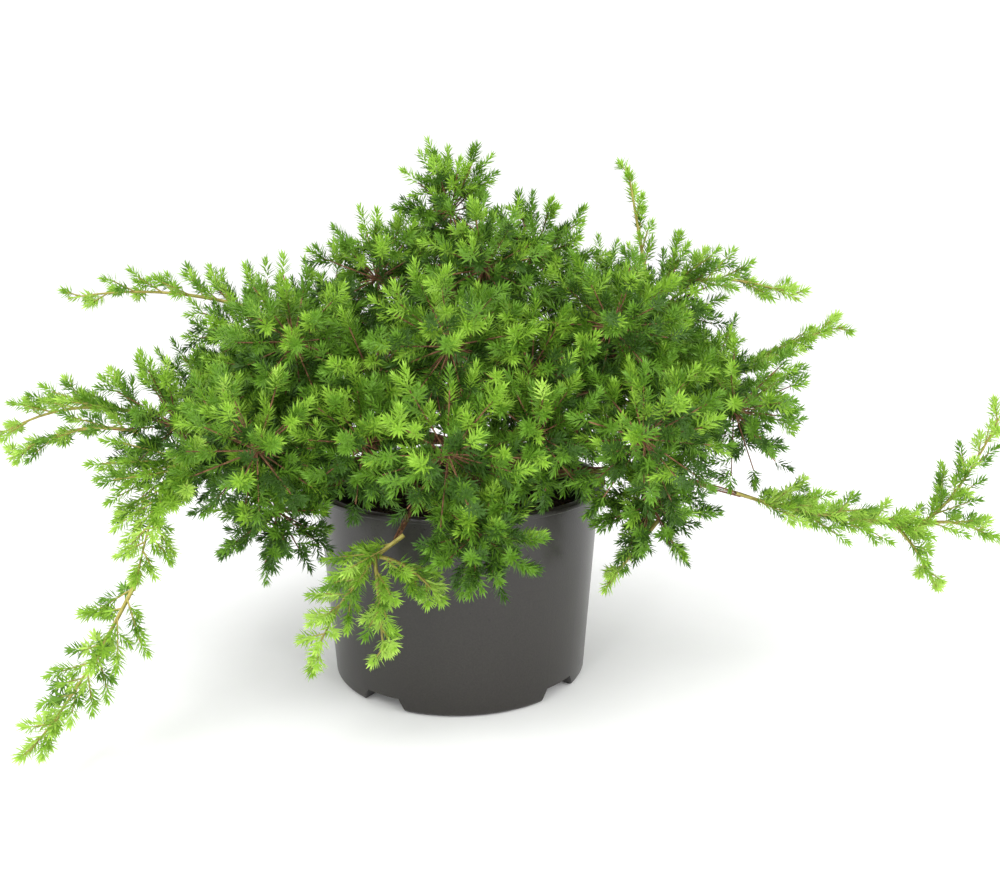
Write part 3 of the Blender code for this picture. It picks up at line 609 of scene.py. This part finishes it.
def twig_piece(name, group, material):
    points, faces = [], []
    for path, thick, thin in group:
        last = len(path) - 1
        for n, centre in enumerate(path):
            direction = (path[min(n + 1, last)] - path[max(n - 1, 0)]).normalized()
            if n == 0:
                first, second = side_axes(direction)
            else:
                first = (first - direction * first.dot(direction)).normalized()
                second = direction.cross(first)
            radius = lerp(thick, thin, n / last)
            ring = len(points)
            points += [centre + radius * (math.cos(corner) * first + math.sin(corner) * second)
                       for corner in TWIG_CORNERS]
            if n == 0:
                continue
            before = ring - TWIG_SIDES
            for side in range(TWIG_SIDES):
                after = (side + 1) % TWIG_SIDES
                faces.append((before + side, before + after, ring + after))
                faces.append((before + side, ring + after, ring + side))
    add_piece(name, [tuple(p) for p in points], np.array(faces), material, ())


twig_piece("twigs_brown", twigs["brown"], BARK)
twig_piece("twigs_green", twigs["green"], GREEN_TWIG)

# %% [markdown]
# ## Pot
# The real pot is a thin moulded shell with a small lip and four drain pockets cut into its
# foot. A finer copy is turned round the axis with many more sides than the solid has, so
# that its gloss runs smoothly, and the pockets are then cut out of its foot. The floor inside
# lies on the roofs of the pockets, under the soil, where it is never seen.

# %% A smooth pot
POT_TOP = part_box("pot")[1][2]
POT_SIDES = 180
LIP_RADIUS = 0.0950
LIP_THICK = 0.0030
WALL_TOP_RADIUS = 0.0916
WALL_BASE_RADIUS = 0.0830
WALL = 0.0018
BASE_ROUND = 0.0030
EDGE_ROUND = 0.0005
SHARP_FROM = 30
POCKET_HEIGHT = 0.0085
POCKET_REACH = 0.0520
POCKET_OVERCUT = 0.010
POCKET_WIDTHS = (0.0175, 0.0120)
POCKET_FACING = (8.7, 188.7)
POCKET_HALF_TURN = 41.8
FRONT_TURN = 90
POCKET_HEADINGS = [facing + side * POCKET_HALF_TURN - FRONT_TURN
                   for facing in POCKET_FACING for side in (-1, 1)]
INNER_FLOOR = POCKET_HEIGHT + WALL


def arc(centre, radius, start, stop, steps):
    angles = np.radians(np.linspace(start, stop, steps + 1))
    return [(centre[0] + radius * math.cos(a), centre[1] + radius * math.sin(a)) for a in angles]


def pot_profile():
    """The pot's half section, from the middle of its foot to the middle of its floor."""
    slope = (WALL_TOP_RADIUS - WALL_BASE_RADIUS) / POT_TOP
    under_lip = POT_TOP - LIP_THICK
    lip_edge = LIP_RADIUS - EDGE_ROUND
    inner_top = WALL_TOP_RADIUS - WALL
    profile = [(0.0, 0.0)]
    profile += arc((WALL_BASE_RADIUS - BASE_ROUND, BASE_ROUND), BASE_ROUND, -90, 0, 6)
    profile += [(WALL_BASE_RADIUS + slope * under_lip, under_lip), (lip_edge, under_lip)]
    profile += arc((lip_edge, under_lip + EDGE_ROUND), EDGE_ROUND, -60, 0, 2)
    profile += arc((lip_edge, POT_TOP - EDGE_ROUND), EDGE_ROUND, 0, 90, 3)
    profile += arc((inner_top + EDGE_ROUND, POT_TOP - EDGE_ROUND), EDGE_ROUND, 90, 180, 3)
    profile += [(WALL_BASE_RADIUS - WALL + slope * INNER_FLOOR, INNER_FLOOR), (0.0, INNER_FLOOR)]
    return profile


def turned(name, profile, sides):
    """A profile turned round the upright axis, with one point where it meets the axis."""
    points, rings, faces = [], [], []
    for radius, height in profile:
        count = 1 if radius == 0.0 else sides
        rings.append([len(points) + side % count for side in range(sides)])
        points += [(radius * math.cos(2 * math.pi * side / sides),
                    radius * math.sin(2 * math.pi * side / sides), height) for side in range(count)]
    for low, high in zip(rings, rings[1:]):
        for side in range(sides):
            after = (side + 1) % sides
            faces.append(list(dict.fromkeys([low[side], low[after], high[after], high[side]])))
    mesh = bpy.data.meshes.new(name)
    mesh.from_pydata(points, [], faces)
    return put_in_scene(name, mesh)


def pocket_cutter(heading):
    """A block that narrows upwards and reaches in from outside the pot's foot."""
    turn = math.radians(heading)
    out = Vector((math.cos(turn), math.sin(turn), 0))
    along = Vector((-math.sin(turn), math.cos(turn), 0))
    wide, narrow = POCKET_WIDTHS
    section = [(-wide, -WALL), (wide, -WALL), (narrow, POCKET_HEIGHT), (-narrow, POCKET_HEIGHT)]
    points = [out * depth + along * side + Vector((0, 0, height))
              for depth in (POCKET_REACH, WALL_BASE_RADIUS + POCKET_OVERCUT)
              for side, height in section]
    corners = len(section)
    faces = [(3, 2, 1, 0), (4, 5, 6, 7)]
    for i in range(corners):
        after = (i + 1) % corners
        faces.append((i, after, corners + after, corners + i))
    mesh = bpy.data.meshes.new("pocket")
    mesh.from_pydata([tuple(p) for p in points], [], faces)
    return put_in_scene("pocket", mesh)


pot_skin = turned("pot_skin", pot_profile(), POT_SIDES)
for heading in POCKET_HEADINGS:
    cutter = pocket_cutter(heading)
    modifier = pot_skin.modifiers.new("pocket", "BOOLEAN")
    modifier.operation = "DIFFERENCE"
    modifier.object = cutter
    evaluated = pot_skin.evaluated_get(bpy.context.evaluated_depsgraph_get())
    cut_mesh = bpy.data.meshes.new_from_object(evaluated)
    pot_skin.modifiers.clear()
    pot_skin.data = cut_mesh
    bpy.data.objects.remove(cutter, do_unlink=True)
pot_skin.data.shade_smooth()
pot_skin.data.set_sharp_from_angle(angle=math.radians(SHARP_FROM))
pot_skin.data.materials.clear()
pot_skin.data.materials.append(POT_PLASTIC)
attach(pot_skin, "root")
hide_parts("pot")
print("pot", len(pot_skin.data.polygons), "faces")

# %% [markdown]
# ## Soil
# Potting soil is loose and dark. The solid's flat top keeps its place and takes the soil's
# material, and it is strewn with crumbs, small uneven balls joined in one mesh.

# %% Soil and its crumbs
SOIL_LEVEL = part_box("soil")[1][2]
CRUMBS = 900
CRUMB_REACH = 0.084
CLEAR_MIDDLE = 0.02
CRUMB_SIZES = (0.0008, 0.0030)
CRUMB_SINK = 0.0008
CRUMB_WOBBLE = (0.7, 1.2)


def dress(node_name, material):
    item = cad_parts[node_name]
    item.data.materials.clear()
    item.data.materials.append(material)


dress("soil", SOIL)
crumb_shape = bmesh.new()
bmesh.ops.create_icosphere(crumb_shape, subdivisions=1, radius=1.0)
crumb_points = np.array([tuple(v.co) for v in crumb_shape.verts])
crumb_faces = np.array([[v.index for v in face.verts] for face in crumb_shape.faces])
crumb_shape.free()
reach = CRUMB_REACH * np.sqrt(dice.uniform(CLEAR_MIDDLE, 1, CRUMBS))
turn = dice.uniform(0, 2 * math.pi, CRUMBS)
sizes = dice.uniform(*CRUMB_SIZES, CRUMBS)
heights = np.full(CRUMBS, SOIL_LEVEL - CRUMB_SINK)
places = np.stack([reach * np.cos(turn), reach * np.sin(turn), heights], axis=1)
wobble = dice.uniform(*CRUMB_WOBBLE, (CRUMBS, len(crumb_points), 1))
crumbs = places[:, None] + crumb_points[None] * sizes[:, None, None] * wobble
crumb_index = repeated(crumb_faces, len(crumb_points), CRUMBS)
add_piece("soil_crumbs", crumbs.reshape(-1, 3), crumb_index, SOIL, ())

# %% [markdown]
# ## Floor, light and camera
# A plain white studio: a pale floor, an even white surround and two large soft lights. Two
# narrow upright strips are meant to draw bands of gloss down the pot, and in this even light
# they show only faintly.

# %% Studio
FLOOR_SPAN = 30.0
FLOOR_DROP = 0.0004
SURROUND_STRENGTH = 1.12
LIGHTS_AIM = Vector((0, 0, 0.15))
LIGHTS = (
    dict(name="key", place=(-0.7, -1.0, 1.6), width=0.9, height=0.9, energy=13),
    dict(name="fill", place=(1.2, -0.7, 0.9), width=0.9, height=0.9, energy=6),
    dict(name="left strip", place=(-0.45, -1.1, 0.35), width=0.12, height=1.0, energy=4),
    dict(name="right strip", place=(0.75, -1.0, 0.35), width=0.12, height=1.0, energy=4),
)

floor_mesh = bpy.data.meshes.new("floor")
floor_corners = [(FLOOR_SPAN * x, FLOOR_SPAN * y, 0) for x, y in ((-1, -1), (1, -1), (1, 1), (-1, 1))]
floor_mesh.from_pydata(floor_corners, [], [(0, 1, 2, 3)])
floor = put_in_scene("floor", floor_mesh)
floor.location.z = -FLOOR_DROP
floor_mesh.materials.append(finish("white paper floor", (0.97, 0.97, 0.97), (0.99, 0.99, 0.99),
                                   roughness=0.95, scale=20, strength=0.0, specular=0.1))

world = bpy.data.worlds.new("studio")
bpy.context.scene.world = world
world.use_nodes = True
surround = world.node_tree.nodes["Background"]
surround.inputs["Color"].default_value = (1, 1, 1, 1)
surround.inputs["Strength"].default_value = SURROUND_STRENGTH


def soft_light(name, place, width, height, energy):
    lamp = bpy.data.lights.new(name, "AREA")
    lamp.shape = "RECTANGLE"
    lamp.size = width
    lamp.size_y = height
    lamp.energy = energy
    item = put_in_scene(name, lamp)
    item.location = place
    item.rotation_euler = (LIGHTS_AIM - Vector(place)).to_track_quat("-Z", "Y").to_euler()


for light in LIGHTS:
    soft_light(**light)
print(len(LIGHTS), "lights")

# %% Camera
CAMERA_PLACE = (0.0267, -0.650, 0.298)
CAMERA_LOOKS_DOWN = 12.57
SENSOR_WIDTH = 36.0
LENS = 37.0
CLIP_START = 0.01

camera = put_in_scene("camera", bpy.data.cameras.new("camera"))
camera.location = CAMERA_PLACE
camera.rotation_euler = (math.radians(90 - CAMERA_LOOKS_DOWN), 0, 0)
camera.data.sensor_width = SENSOR_WIDTH
camera.data.lens = LENS
camera.data.clip_start = CLIP_START
bpy.context.scene.camera = camera
bpy.context.scene.view_settings.view_transform = "Standard"
print("camera at", CAMERA_PLACE)
